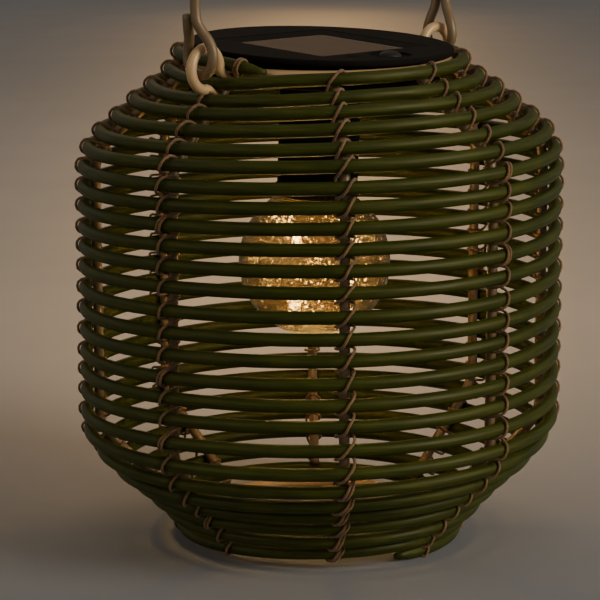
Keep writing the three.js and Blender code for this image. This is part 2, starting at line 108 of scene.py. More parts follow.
def ease(x):
    x = min(1.0, max(0.0, x))
    return x * x * (3 - 2 * x)


def unit(v):
    return v / (np.linalg.norm(v, axis=-1, keepdims=True) + 1e-12)


def new_object(name, verts, faces, smooth=True):
    """A mesh object from points in millimetres."""
    mesh = bpy.data.meshes.new(name)
    mesh.from_pydata((np.asarray(verts) * MM).tolist(), [], faces)
    mesh.update()
    if smooth:
        mesh.polygons.foreach_set("use_smooth", [True] * len(mesh.polygons))
    obj = bpy.data.objects.new(name, mesh)
    bpy.context.scene.collection.objects.link(obj)
    return obj


def join(name, objects):
    for o in bpy.context.selected_objects:
        o.select_set(False)
    for o in objects:
        o.select_set(True)
    bpy.context.view_layer.objects.active = objects[0]
    bpy.ops.object.join()
    objects[0].name = name
    objects[0].select_set(False)
    return objects[0]


def fix_normals(obj):
    bm = bmesh.new()
    bm.from_mesh(obj.data)
    bmesh.ops.recalc_face_normals(bm, faces=bm.faces)
    bm.to_mesh(obj.data)
    bm.free()


def transported(points, first):
    """Frames carried along a path with no twist."""
    n = len(points)
    along = unit(np.gradient(points, axis=0))
    outs = np.zeros((n, 3))
    out = np.array(first, float)
    for i in range(n):
        out = out - along[i] * out.dot(along[i])
        out = out / np.linalg.norm(out)
        outs[i] = out
    return outs


def tube(name, points, radius, sides=16, outs=None, closed=False, section=None, dome=0.0):
    """A solid swept along points. radius is one number or one a point; dome is the reach of round ends."""
    points = np.asarray(points, float)
    n = len(points)
    r = np.full(n, float(radius)) if np.isscalar(radius) else np.asarray(radius, float)
    if closed:
        along = unit(np.roll(points, -1, 0) - np.roll(points, 1, 0))
    else:
        along = unit(np.gradient(points, axis=0))
    if outs is None:
        outs = transported(points, (0.3, 0.5, 0.81))
    out = unit(outs - along * (outs * along).sum(1, keepdims=True))
    side = np.cross(along, out)
    if dome and not closed:
        # extra rings that shrink to the tip
        rings = [(dome * math.sin(k * math.pi / 2), math.cos(k * math.pi / 2)) for k in (0.35, 0.7, 0.92)]
        head = [(points[0] - along[0] * r[0] * reach, r[0] * share) for reach, share in rings[::-1]]
        tail = [(points[-1] + along[-1] * r[-1] * reach, r[-1] * share) for reach, share in rings]
        points = np.vstack([[p for p, _ in head], points, [p for p, _ in tail]])
        r = np.concatenate([[q for _, q in head], r, [q for _, q in tail]])
        out = np.vstack([[out[0]] * 3, out, [out[-1]] * 3])
        side = np.vstack([[side[0]] * 3, side, [side[-1]] * 3])
        n = len(points)
    if section is None:
        a = 2 * np.pi * np.arange(sides) / sides
        ca, sa = np.tile(np.cos(a), (n, 1)), np.tile(np.sin(a), (n, 1))
    else:
        ca, sa = section(n)
        sides = ca.shape[1]
    verts = (points[:, None, :] + out[:, None, :] * (r[:, None] * ca)[:, :, None]
             + side[:, None, :] * (r[:, None] * sa)[:, :, None]).reshape(-1, 3)
    faces = []
    for i in range(n if closed else n - 1):
        a0, b0 = i * sides, ((i + 1) % n) * sides
        for j in range(sides):
            k = (j + 1) % sides
            faces.append((a0 + j, a0 + k, b0 + k, b0 + j))
    if not closed:
        faces.append(tuple(range(sides))[::-1])
        faces.append(tuple(range((n - 1) * sides, n * sides)))
    return new_object(name, verts, faces)


def smooth_path(controls, step):
    """A Catmull-Rom path through the controls, resampled at an even step."""
    c = np.asarray(controls, float)
    padded = np.vstack([2 * c[0] - c[1], c, 2 * c[-1] - c[-2]])
    pts = []
    for p0, p1, p2, p3 in zip(padded, padded[1:], padded[2:], padded[3:]):
        d = [max(np.linalg.norm(q - p) ** 0.5, 1e-4) for p, q in ((p0, p1), (p1, p2), (p2, p3))]
        t0, t1 = 0.0, d[0]
        t2, t3 = t1 + d[1], t1 + d[1] + d[2]
        k = max(2, int(np.linalg.norm(p2 - p1) / step * 2))
        t = np.linspace(t1, t2, k, endpoint=False)[:, None]
        a1 = (t1 - t) / (t1 - t0) * p0 + (t - t0) / (t1 - t0) * p1
        a2 = (t2 - t) / (t2 - t1) * p1 + (t - t1) / (t2 - t1) * p2
        a3 = (t3 - t) / (t3 - t2) * p2 + (t - t2) / (t3 - t2) * p3
        b1 = (t2 - t) / (t2 - t0) * a1 + (t - t0) / (t2 - t0) * a2
        b2 = (t3 - t) / (t3 - t1) * a2 + (t - t1) / (t3 - t1) * a3
        pts.append((t2 - t) / (t2 - t1) * b1 + (t - t1) / (t2 - t1) * b2)
    p = np.vstack(pts + [c[-1:]])
    s = np.concatenate([[0], np.cumsum(np.linalg.norm(np.diff(p, axis=0), axis=1))])
    even = np.linspace(0, s[-1], max(3, int(round(s[-1] / step))) + 1)
    return np.stack([np.interp(even, s, p[:, k]) for k in range(3)], 1)


def lathe(name, rows, steps):
    """A solid of revolution about Z; rows start and end on the axis or close on themselves."""
    on_axis = rows[0][0] < 1e-6 and rows[-1][0] < 1e-6
    verts, faces, index = [], [], []
    for r, z in rows:
        if r < 1e-6:
            index.append([len(verts)] * steps)
            verts.append((0.0, 0.0, z))
        else:
            index.append(list(range(len(verts), len(verts) + steps)))
            for i in range(steps):
                a = 2 * math.pi * i / steps
                verts.append((r * math.cos(a), r * math.sin(a), z))
    pairs = list(zip(range(len(rows) - 1), range(1, len(rows))))
    if not on_axis:
        pairs.append((len(rows) - 1, 0))
    for p, q in pairs:
        for i in range(steps):
            j = (i + 1) % steps
            f = [index[p][i], index[p][j], index[q][j], index[q][i]]
            f = [v for k, v in enumerate(f) if v not in f[:k]]
            if len(f) > 2:
                faces.append(tuple(f))
    return new_object(name, verts, faces)


def rounded(rows, r=0.6, steps=4):
    """Rounds the corners of a profile."""
    out = [rows[0]]
    for i in range(1, len(rows) - 1):
        a, b, c = (np.array(rows[k], float) for k in (i - 1, i, i + 1))
        la, lc = np.linalg.norm(a - b), np.linalg.norm(c - b)
        q = min(r, la * 0.45, lc * 0.45)
        p0, p1 = b + (a - b) / la * q, b + (c - b) / lc * q
        for k in range(steps + 1):
            t = k / steps
            out.append(tuple((1 - t) ** 2 * p0 + 2 * t * (1 - t) * b + t * t * p1))
    out.append(rows[-1])
    return out


def ball(name, rows, cols, place):
    """A ball of quads; place turns each direction from its middle into a point."""
    verts, faces = [], []
    for i in range(rows + 1):
        for j in range(cols):
            a, b = math.pi * i / rows, 2 * math.pi * j / cols
            verts.append(place(Vector((math.sin(a) * math.cos(b), math.sin(a) * math.sin(b), math.cos(a)))))
    for i in range(rows):
        for j in range(cols):
            k = (j + 1) % cols
            faces.append((i * cols + j, (i + 1) * cols + j, (i + 1) * cols + k, i * cols + k))
    return new_object(name, verts, faces)


# ------------------------------------------------------------------ the winding
def azimuth_of(turn):
    return -360.0 * turn


def away(az, centre):
    """Degrees from the centre to az, between -180 and 180."""
    return ((az - centre) % 360 + 540) % 360 - 180


def raw_place(turn):
    """Radius and height of the middle of the cane, with the profile's corners still sharp."""
    az = azimuth_of(turn)
    z = table(PROFILE, turn, 2) + table(SLANT, turn) * math.sin(rad(az))
    z += table(RISE, turn) * table(RISE_SHARE, away(az, 0))
    if WOBBLE_TURNS[0] < turn < WOBBLE_TURNS[1]:
        z += PITCH_WOBBLE * (math.sin(turn * 5.3) + math.sin(turn * 2.17 + 1))
    push = (table(PUSH_LEFT, turn) * cos2(away(az, RIB_AZ_TOP[LEFT_LOOP_RIB]) / PUSH_SPREAD)
            + table(PUSH_RIGHT, turn) * cos2(away(az, RIB_AZ_TOP[RIGHT_LOOP_RIB]) / PUSH_SPREAD))
    return table(PROFILE, turn, 1) + PUSH_OUT * push, z - PUSH_DOWN * push


def hand(turn):
    """Small slow wander of hand-wound cane, in millimetres."""
    slow = noise.noise(Vector((turn * 3.1, 3.0, 0.0)))
    quick = noise.noise(Vector((turn * 8.0, 10.0, 0.0)))
    return slow * 0.45 + quick * 0.18


def cane_place(turn):
    """Radius and height of the middle of the cane, with the corners of the profile eased."""
    width = 0.012 if turn < 1.4 else (0.02 if turn > 25.9 else 0.07)
    k = [raw_place(min(max(turn + d * width, FIRST_TURN), LAST_TURN)) for d in (-1, -0.5, 0, 0.5, 1)]
    r = sum(q[0] for q in k) / 5
    z = sum(q[1] for q in k) / 5
    # the first turns and the last one are laid without wander
    fade = min(1.0, max(0.0, (turn - 1.5) / 2)) * min(1.0, max(0.0, 26.0 - turn))
    return r, z + fade * hand(turn)


def cane_point(turn):
    r, z = cane_place(turn)
    return radial(azimuth_of(turn)) * r + UP * z


def beside(turn, out, down=0.0):
    """Radius and height at a distance outside the cane, square to the profile."""
    r, z = cane_place(turn)
    ra, za = cane_place(max(turn - 1, 0.7))
    rb, zb = cane_place(min(turn + 1, LAST_TURN))
    length = math.hypot(rb - ra, zb - za)
    dr, dz = (rb - ra) / length, (zb - za) / length
    return r - dz * out + dr * down, z + dr * out + dz * down


def rib_azimuth(rib, turn):
    k = min(1.0, max(0.0, (turn - 1.5) / 5))
    return RIB_AZ_TOP[rib] + k * (RIB_AZ[rib] - RIB_AZ_TOP[rib])


# every place where the cane crosses a rib, from the top down
crossings = []
for n in range(math.ceil(LAST_TURN) + 1):
    for rib in range(len(RIB_NAMES)):
        t = n + 1 - rib_azimuth(rib, n + 1) / 360
        if FIRST_TURN + 0.01 < t < LAST_TURN - 0.01:
            crossings.append((t, rib))
crossings.sort()


def rib_turns(rib, low, high):
    return [t for t, r in crossings if r == rib and low <= t <= high]


# one piece a turn, cut where the lashing of the left loop's rib hides the joint
STEPS_A_TURN = 110
TAPER, TAPER_START = 0.035, 0.42
limits = [FIRST_TURN] + rib_turns(LEFT_LOOP_RIB, 0.5, LAST_TURN) + [LAST_TURN]
cane_pieces = []
for i, (a, b) in enumerate(zip(limits, limits[1:])):
    turns = np.linspace(a, b, max(12, int(STEPS_A_TURN * (b - a))) + 1)
    points = np.array([cane_point(t) for t in turns])
    outs = np.array([radial(azimuth_of(t)) for t in turns])
    r = np.array([CANE_R * (0.985 + 0.03 * noise.noise(Vector((t * 5.0, 11.0, 0)))) for t in turns])
    r = np.where(turns > 26.2, np.minimum(r, GROUND_Z - 0.02), r)
    if a == FIRST_TURN:
        r = r * np.clip(TAPER_START + (turns - a) / TAPER, TAPER_START, 1.0)
    if b == LAST_TURN:
        r = r * np.clip(TAPER_START + (b - turns) / TAPER, TAPER_START, 1.0)
    obj = tube(f"cane_turn_{i + 1:02d}_round", points, r, CANE_SIDES, outs)
    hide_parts(f"cane_turn_{i + 1:02d}")
    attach(obj, "lantern")
    cane_pieces.append(obj)


# ------------------------------------------------------------------ wire cage
wire_pieces = []


def wire(node, obj, body="lantern"):
    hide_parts(node)
    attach(obj, body)
    wire_pieces.append(obj)


def top_ring_z(az):
    return TOP_RING_Z - TOP_RING_R * math.sin(rad(TOP_RING_TILT)) * math.cos(rad(az))


def ring(node, radius, height_at, steps=200):
    azimuths = [-360 * i / steps for i in range(steps)]
    outs = np.array([radial(az) for az in azimuths])
    path = np.array([radial(az) * radius + UP * height_at(az) for az in azimuths])
    wire(node, tube(node + "_wire", path, WIRE_R, WIRE_SIDES, outs, closed=True))


ring("frame_top_ring", TOP_RING_R, top_ring_z)
ring("frame_base_ring", BASE_RING_R, lambda az: BASE_RING_Z)

rib_paths = []
for rib, rib_name in enumerate(RIB_NAMES):
    # the rods are straight in the wall, whatever the cane does
    turns = [t for i, t in enumerate(rib_turns(rib, *RIB_TURNS))
             if not (WALL_TURNS[0] < t < WALL_TURNS[1]) or i % 4 == 0]
    places = [(rib_azimuth(rib, t), beside(t, -RIB_INSET)) for t in turns]
    # the first place is on the top ring
    az, (r, z) = places[0]
    ring_z = top_ring_z(az)
    k = (WIRE_R + 0.2) / math.hypot(r - TOP_RING_R, z - ring_z)
    places.insert(0, (az, (TOP_RING_R + k * (r - TOP_RING_R), ring_z + k * (z - ring_z))))
    path = smooth_path([radial(az) * r + UP * z for az, (r, z) in places], 2.5)
    rib_paths.append(path)
    outs = np.array([tangential(RIB_AZ[rib])] * len(path))
    wire(f"rib_{rib_name}", tube(f"rib_{rib_name}_wire", path, WIRE_R, 14, outs))


def weld_bead(name, centre, size, seed, squash):
    """A rough bead of weld metal."""
    def place(d):
        coarse = noise.noise(d * 2.2 + Vector((seed, 0, 0)))
        fine = noise.noise(d * 6 + Vector((0, seed, 0)))
        bump = 1 + 0.22 * coarse + 0.1 * fine
        return [centre[k] + d[k] * size * bump * squash[k] for k in range(3)]
    return ball(name, 14, 20, place)


LOOP_WAY = (0.72, 0.694)         # outwards and up, along a handle loop from its rib
loop_tops = {}
for node, (rib, turn) in LOOPS.items():
    az = RIB_AZ_TOP[rib]
    r, z = raw_place(turn)

    def at(u, v):
        """A point u along the loop from the cane, and v across it."""
        out, up = LOOP_WAY
        return radial(az) * (r + u * out - v * up) + UP * (z + u * up + v * out)

    def leg_end(side):
        """How far in a leg of the loop meets its rib."""
        u = -6.0
        while np.linalg.norm(rib_paths[rib] - at(u, side * LOOP_LEG), axis=1).min() < WIRE_R + 0.2:
            u += 0.1
        return u

    neck_at = LOOP_OUT - math.sqrt(LOOP_R ** 2 - LOOP_LEG ** 2) - 1.6
    half_arc = 0.97 * (math.pi - math.asin(LOOP_LEG / LOOP_R))
    controls = [at(leg_end(1), LOOP_LEG), at(neck_at, LOOP_LEG)]
    for a in np.linspace(half_arc, -half_arc, 25):
        controls.append(at(LOOP_OUT + LOOP_R * math.cos(a), LOOP_R * math.sin(a)))
    controls += [at(neck_at, -LOOP_LEG), at(leg_end(-1), -LOOP_LEG)]
    path = smooth_path(controls, 1.0)
    parts = [tube(node + "_wire", path, WIRE_R, WIRE_SIDES, np.array([tangential(az)] * len(path)))]
    for k, side in enumerate((1, -1)):
        centre = at(leg_end(side) - 0.4, side * LOOP_LEG)
        parts.append(weld_bead(f"{node}_weld_{k}", centre, 3.4, 5.0 * k + rib, (1.05, 1.05, 0.85)))
    wire(node, join(node + "_welded", parts))
    loop_tops[node] = at(LOOP_OUT, 0) + UP * LOOP_R

# ------------------------------------------------------------------ bail
BAIL_R, BAIL_HEIGHT, ARCH_FLAT = WIRE_R - 0.05, 202.0, 4
EYE_HALF, EYE_DROP, EYE_CLOSE, CUT_END = 8.2, 4.0, 10.0, 15.5
EYE_OUT, LEG_OUT, EYE_TWIST = 3.0, 6.2, 0.2
hl, hr = loop_tops["handle_loop_left"], loop_tops["handle_loop_right"]
hinge_axis = unit((hr - hl) * np.array([1, 1, 0]))
half_span = float(np.linalg.norm((hr - hl)[:2])) / 2
hinge_mid = (hl + hr) / 2
bail_side = np.cross(UP, hinge_axis)


def bail_point(along, sideways, height):
    return hinge_mid + hinge_axis * along + bail_side * sideways + UP * height


def eye_along(h):
    """How far out the wire stands at a height: the eyes are closer in than the legs."""
    return half_span + EYE_OUT + (LEG_OUT - EYE_OUT) * min(1.0, max(0.0, (h - 2) / 10))


# a teardrop eye, sideways and up, from its cut end round to the leg
eye = [(5.1, CUT_END), (5.4, EYE_CLOSE), (6.8, 3.6), (EYE_HALF - 0.2, -1.0), (EYE_HALF, -EYE_DROP)]
for i in range(1, 8):
    a = math.pi * i / 8
    eye.append((EYE_HALF * math.cos(a), -EYE_DROP - EYE_HALF * math.sin(a)))
eye += [(-EYE_HALF, -EYE_DROP), (-EYE_HALF + 0.3, -0.8), (-6.2, 3.6), (-3.1, 8.4), (-0.9, 12.8)]
eye += [(-0.1, 18.0), (0.0, 26.0)]

half = half_span + LEG_OUT
arch = half - ARCH_FLAT
leg_top = BAIL_HEIGHT - arch
legs = (36, leg_top * 0.45, leg_top * 0.7, leg_top * 0.9)
controls = [bail_point(-eye_along(h), w + EYE_TWIST, h) for w, h in eye]
controls += [bail_point(-half, 0, h) for h in legs]
for i in range(17):
    a = math.pi * i / 16
    controls.append(bail_point(-half * math.cos(a), 0, leg_top + arch * math.sin(a)))
controls += [bail_point(half, 0, h) for h in reversed(legs)]
controls += [bail_point(eye_along(h), w - EYE_TWIST, h) for w, h in reversed(eye)]
path = smooth_path(controls, 1.6)
outs = transported(path, hinge_axis)
wire("bail_handle", tube("bail_handle_wire", path, BAIL_R, WIRE_SIDES, outs, dome=0.35), "bail")

# ------------------------------------------------------------------ twine lashings
TWINE_R, TWINE_STEP, TWINE_LAY = 0.70, 0.55, 1.15
FACE_OUT, FACE_UP = 3.72, 1.72           # where the twine crosses the face of a cane
EDGE_OUT, EDGE_UP = 1.75, 3.7            # where it goes round the cane's edge
GAP_OUT, BEHIND_OUT = -5.6, -9.5         # where it goes in between two canes, and behind the rib
PAIR_GAP, TAIL = 1.75, 5.0
twine_pieces = []


def twine(name, path, step):
    """A strand of two plies laid round each other."""
    def section(count, sides=12):
        a = 2 * np.pi * np.arange(sides) / sides
        turn = np.arange(count)[:, None] * step * TWINE_LAY
        lobes = 0.80 + 0.20 * np.abs(np.cos(a[None, :] - turn)) ** 0.8
        return lobes * np.cos(a)[None, :], lobes * np.sin(a)[None, :]
    obj = tube(name, path, TWINE_R, section=section)
    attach(obj, "lantern")
    twine_pieces.append(obj)
    return obj


def by_rib(rib, turn, w, u, v):
    """A point w to the right, u outwards and v up the profile, from the cane where it crosses the rib."""
    az = rib_azimuth(rib, turn)
    r, z = beside(turn, u, -v)
    return radial(az) * r + UP * z + tangential(az) * w


def between(rib, low, high, w, u):
    """A point between two turns, or a tail's length past the end where one is missing."""
    if low is None:
        return by_rib(rib, high, w, u, -TAIL)
    if high is None:
        return by_rib(rib, low, w, u, TAIL)
    return 0.5 * (by_rib(rib, low, w, u, 0) + by_rib(rib, high, w, u, 0))


for rib, rib_name in enumerate(RIB_NAMES):
    rng = random.Random(40 + rib)
    front = rib_name == "front"
    first = 2.0 if rib in (LEFT_LOOP_RIB, RIGHT_LOOP_RIB) else 0.2
    turns = rib_turns(rib, first, LAST_TURN)[::-1]       # from the bottom up
    cross = 4.2 if front else 3.6
    controls = []
    for k, t in enumerate(turns):
        above = turns[k + 1] if k + 1 < len(turns) else None
        below = turns[k - 1] if k else None
        wraps = 2 if (front and t > 20.5) or rng.random() < 0.05 else 1
        lean = rng.uniform(0.65, 1.15) * (1.25 if front else 0.85)
        shift = rng.uniform(-0.5, 0.5)
        s = (2.2 if front else 1.9) * lean
        for wrap in range(wraps):
            w = shift + (PAIR_GAP * (wrap - 0.5) if wraps == 2 else 0.0)
            controls += [
                between(rib, below, t, -cross, GAP_OUT),
                by_rib(rib, t, -s + w - 0.5, EDGE_OUT, -EDGE_UP),
                by_rib(rib, t, -s * 0.45 + w, FACE_OUT, -FACE_UP),
                by_rib(rib, t, s * 0.45 + w, FACE_OUT, FACE_UP),
                by_rib(rib, t, s + w + 0.5, EDGE_OUT, EDGE_UP),
                between(rib, t, above, cross, GAP_OUT),
                between(rib, t, above, 0.0, BEHIND_OUT),
            ]
    path = smooth_path(controls, TWINE_STEP)
    path[:, 2] = np.maximum(path[:, 2], TWINE_R + 0.05)
    obj = twine(f"lashing_{rib_name}_twine", path, TWINE_STEP)
    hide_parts(f"lashing_{rib_name}")


def coil(name, turn, count, pitch):
    """A few coils of twine round one cane."""
    centre, ahead = cane_point(turn), cane_point(turn - 0.004)
    along = unit(ahead - centre)
    outward = unit(np.cross(along, UP))
    up = np.cross(outward, along)
    radius = CANE_R + TWINE_R
    steps = int(count * 28)
    path = []
    for i in range(steps + 1):
        a = 2 * math.pi * count * i / steps + 2.6
        w = pitch * count * (i / steps - 0.5)
        path.append(centre + along * w + outward * (radius * math.cos(a)) + up * radius * math.sin(a))
    twine(name, np.array(path), 0.9)


BESIDE_LOOP, TURN_LENGTH = 10.6, 458
coil("wrap_front_left_top", LOOPS["handle_loop_left"][1] + BESIDE_LOOP / TURN_LENGTH, 2.2, 1.5)
coil("wrap_cane_start", 0.092, 2.2, 1.6)

# ------------------------------------------------------------------ lamp, upright on the origin, then leant
COVER_R, LIP_T, BODY_R, PLATE_T = 64.6, 2.9, 57.3, 4.6
BEZEL, PANEL, BEZEL_DEPTH, PANEL_DEPTH = 75.0, 57.8, 1.3, 3.4
BUTTON_R, BUTTON_AT, BUTTON_AZ, WELL_R = 5.5, 48.5, 42.0, 9.8
BASE_DEPTH, BASE_HOLE_R, GROOVE_Z, WALL = 16.0, 16.9, -9.0, 1.8
NECK_R, NECK_END, NECK_HOLE_R, NECK_GROOVE_Z, COLLAR_H = 20.0, 70.5, 1.5, -23.5, 4.9
GLOBE_R, GLOBE_Z, GLOBE_WALL, GLOBE_NECK = 38.0, -109.5, 1.2, 17.2
LEAN = (Matrix.Translation(Vector(LAMP_CENTRE) * MM)
        @ Matrix.Rotation(rad(LEAN_RIGHT), 4, "Y") @ Matrix.Rotation(rad(LEAN_FRONT), 4, "X"))
button_x, button_y = (radial(BUTTON_AZ) * BUTTON_AT)[:2]


def lamp_piece(obj, slot, *nodes, body="lamp"):
    obj.data.transform(LEAN)
    obj.data.update()
    if nodes:
        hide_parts(*nodes)
    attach(obj, body)
    return obj


def cover_height(x, y):
    """Height of the cover's top outside the bezel: the button's well, its hole and a raised power mark."""
    d = math.hypot(x - button_x, y - button_y)
    h = -1.0 * ease((WELL_R + 0.35 - d) / 0.7)
    h += 0.25 * ease((0.8 - abs(d - WELL_R - 0.7)) / 0.5)
    h -= 4.0 * ease((BUTTON_R + 0.45 - d) / 0.35)
    # power mark, left of the button: a ring with a gap, and a bar in the gap
    mark_x, mark_y = radial(BUTTON_AZ - 25)[:2] * 49.0
    px, py = x - mark_x, y - mark_y
    mark = 0.0
    if abs(away(math.degrees(math.atan2(py, px)), 90)) > 38:
        mark = ease((0.55 - abs(math.hypot(px, py) - 2.6)) / 0.25)
    mark = max(mark, ease((0.55 - abs(px)) / 0.25) * ease((1.7 - abs(py - 2.3)) / 0.25))
    return h + 0.35 * mark


def cover_mesh():
    """A fine polar sheet: square pocket, sloped bezel, flat rim and rolled edge."""
    steps, slope_rings, rim_rings = 720, 9, 44
    inner, outer = PANEL / 2, BEZEL / 2
    verts, faces, rings = [], [], []

    def add_ring(point):
        rings.append(len(verts))
        for i in range(steps):
            verts.append(point(2 * math.pi * (i + 0.5) / steps))

    def square(a, half):
        """Reach of a square that stands as a diamond: its blunt corners point front, back, left and right."""
        b = (a + math.pi / 4) % (math.pi / 2) - math.pi / 4
        reach = half * math.sqrt(2) / (math.cos(b) + abs(math.sin(b)))
        return min(reach, half * math.sqrt(2) - 0.5)

    def add_square(half, z):
        add_ring(lambda a: (square(a, half) * math.cos(a), square(a, half) * math.sin(a), z))

    add_square(inner, -PANEL_DEPTH)
    add_square(inner, -BEZEL_DEPTH - 0.15)
    add_square(inner + 0.15, -BEZEL_DEPTH)
    for k in range(1, slope_rings):
        t = k / slope_rings
        add_square(inner + 0.15 + t * (outer - inner - 0.5), -BEZEL_DEPTH + t * (BEZEL_DEPTH - 0.25))
    add_square(outer - 0.3, -0.22)
    add_square(outer - 0.08, -0.06)
    add_square(outer + 0.15, 0.0)
    for k in range(1, rim_rings + 1):
        def rim_point(a, t=k / rim_rings):
            low = square(a, outer + 0.15)
            r = low + t * (COVER_R - 1.2 - low)
            x, y = r * math.cos(a), r * math.sin(a)
            return (x, y, cover_height(x, y))
        add_ring(rim_point)
    edge = [(COVER_R - 0.75, -0.05), (COVER_R - 0.35, -0.2), (COVER_R - 0.08, -0.5), (COVER_R, -0.95),
            (COVER_R, -LIP_T + 0.65), (COVER_R - 0.1, -LIP_T + 0.25), (COVER_R - 0.4, -LIP_T),
            (BODY_R + 0.2, -LIP_T), (BODY_R, -LIP_T - 0.2), (BODY_R, -PLATE_T + 0.2),
            (BODY_R - 0.2, -PLATE_T), (BODY_R - 8, -PLATE_T)]
    for r, z in edge:
        add_ring(lambda a: (r * math.cos(a), r * math.sin(a), z))
    add_square(inner + 3, -PLATE_T)
    add_square(inner, -PLATE_T + 0.1)
    for p, q in zip(rings, rings[1:] + rings[:1]):
        for i in range(steps):
            j = (i + 1) % steps
            faces.append((p + i, q + i, q + j, p + j))
    return new_object("lamp_cover_moulded", verts, faces)


def groove(r, z, depth, half):
    """Four points of a fine groove in an upright wall."""
    return [(r, z - half), (r - depth, z - half + 0.2), (r - depth, z + half - 0.2), (r, z + half)]


def collar_mesh():
    """A screw collar with shallow grip flutes."""
    steps, flutes, flute_depth = 240, 40, 0.32
    low, high = -NECK_END - COLLAR_H, -NECK_END - 0.3
    rows = rounded([
        (GLOBE_NECK + 0.3, low), (NECK_R + 0.9, low), (NECK_R + 1.5, low + 0.6),
        (NECK_R + 1.5, high - 0.6), (NECK_R + 0.9, high), (GLOBE_NECK + 0.3, high)], 0.35)
    verts, faces = [], []
    for r, z in rows:
        for i in range(steps):
            a = 2 * math.pi * i / steps
            f = flute_depth * (0.5 - 0.5 * math.cos(a * flutes)) if r > NECK_R + 1.3 else 0.0
            verts.append(((r - f) * math.cos(a), (r - f) * math.sin(a), z))
    n = len(rows)
    for p in range(n):
        q = (p + 1) % n
        for i in range(steps):
            j = (i + 1) % steps
            faces.append((p * steps + i, p * steps + j, q * steps + j, q * steps + i))
    return new_object("bulb_collar_fluted", verts, faces)


def globe_rows(r, neck_r, count=150):
    """Half an outline of the globe, from the neck down to the axis."""
    rows = [(neck_r, -NECK_END - 0.6)]
    for a in np.linspace(math.asin(neck_r / r), math.pi, count)[:-1]:
        rows.append((r * math.sin(a), GLOBE_Z + r * math.cos(a)))
    return rows + [(0.0, GLOBE_Z - r)]


def wander(q):
    """A smooth noise vector that is the same on every run."""
    return Vector([noise.noise(q + Vector((13.7 * k, 5.1, 0.0))) for k in range(3)])


def crackle(obj, cell, depth):
    """Sinks crooked cracks into the globe's outer skin, and leaves its neck and bottom cap smooth."""
    for v in obj.data.vertices:
        q = Vector((v.co.x, v.co.y, v.co.z - GLOBE_Z * MM)) / MM
        if q.length < GLOBE_R - 0.2:
            continue
        k = ease((q.z + GLOBE_R - 4.0) / 3.0) * ease((GLOBE_R - 5.5 - q.z) / 3.0)
        bent = Vector((q.x, q.y, q.z * 1.5)) + 1.6 * wander(q / 7.0)
        d = noise.voronoi(bent / cell)[0]
        sink = depth * k * (1.0 - ease((d[1] - d[0]) / 0.30)) + 0.08 * k * (1 + noise.noise(q / 3.0))
        v.co -= q.normalized() * sink * MM


cover = lamp_piece(cover_mesh(), "shell", "lamp_cover")

button_rows = [(0.0, -6.2), (BUTTON_R, -6.2), (BUTTON_R, -1.0)]
for a in np.linspace(0.12, math.pi / 2, 16)[:-1]:
    button_rows.append((BUTTON_R * math.cos(a) ** 0.8, -0.95 + 2.65 * math.sin(a)))
button_rows.append((0.0, -0.95 + 2.65))
button = lathe("switch_button_dome", button_rows, 64)
button.data.transform(Matrix.Translation((button_x * MM, button_y * MM, 0.0)))
lamp_piece(button, "button", "switch_button", body="button")

base_rows = rounded([
    (BASE_HOLE_R, -BASE_DEPTH), (BODY_R - 1.2, -BASE_DEPTH), (BODY_R, -BASE_DEPTH + 1.2),
    *groove(BODY_R, GROOVE_Z, 0.5, 0.4), (BODY_R, -PLATE_T - 0.3), (BODY_R - WALL, -PLATE_T - 0.3),
    (BODY_R - WALL, -BASE_DEPTH + WALL), (BASE_HOLE_R, -BASE_DEPTH + WALL)], 0.5)
base = lamp_piece(lathe("lamp_base_moulded", base_rows, 160), "shell", "lamp_base")

neck_rows = rounded([
    (NECK_HOLE_R, -NECK_END), (NECK_R - 1.0, -NECK_END), (NECK_R, -NECK_END + 1.0),
    *groove(NECK_R, NECK_GROOVE_Z, 0.4, 0.5), (NECK_R, -BASE_DEPTH - 0.3), (NECK_R - WALL, -BASE_DEPTH - 0.3),
    (NECK_R - WALL, -NECK_END + WALL), (NECK_HOLE_R, -NECK_END + WALL)], 0.4)
neck = lamp_piece(lathe("battery_housing_moulded", neck_rows, 96), "shell", "battery_housing")
collar = lamp_piece(collar_mesh(), "shell", "bulb_collar")

shell_rows = globe_rows(GLOBE_R, GLOBE_NECK) + globe_rows(GLOBE_R - GLOBE_WALL, GLOBE_NECK - GLOBE_WALL)[::-1]
globe = lathe("bulb_globe_glass", shell_rows, 300)
crackle(globe, 2.3, 0.20)
lamp_piece(globe, "globe", "bulb_globe")

# light wire and its sealed LEDs
WIRE_TURNS, WIRE_CONTROLS, WIRE_DROP = 3.3, 48, 54
LED_COUNT, LED_R, LED_HALF = 15, 1.25, 2.1
rng = random.Random(7)
controls = [(0, 0, -NECK_END - 1.2), (0.5, 0, -NECK_END - 5), (3, 1, -NECK_END - 11)]
for i in range(WIRE_CONTROLS):
    k = i / (WIRE_CONTROLS - 1)
    a = 2 * math.pi * WIRE_TURNS * k + 0.4
    r = 7 + 21 * math.sin(math.pi * min(1.0, 0.12 + 0.80 * k)) + rng.uniform(-1.6, 1.6)
    z = -NECK_END - 14 - WIRE_DROP * k + rng.uniform(-1.0, 1.0)
    controls.append((r * math.cos(a), r * math.sin(a), z))
led_path = smooth_path(controls, 0.9)
lamp_wire = lamp_piece(tube("led_wire_line", led_path, 0.38, 8), "led_wire", "led_wire")
beads = []
for k, i in enumerate(np.linspace(len(led_path) * 0.06, len(led_path) * 0.985, LED_COUNT).astype(int)):
    along = Vector(led_path[min(i + 1, len(led_path) - 1)] - led_path[i - 1]).to_track_quat("Z", "Y")

    def on_wire(d):
        return Vector(led_path[i]) + along @ Vector((LED_R * d.x, LED_R * d.y, LED_HALF * d.z))
    beads.append(ball(f"led_bead_{k + 1:02d}", 10, 14, on_wire))
leds = lamp_piece(join("led_beads", beads), "led_wire")
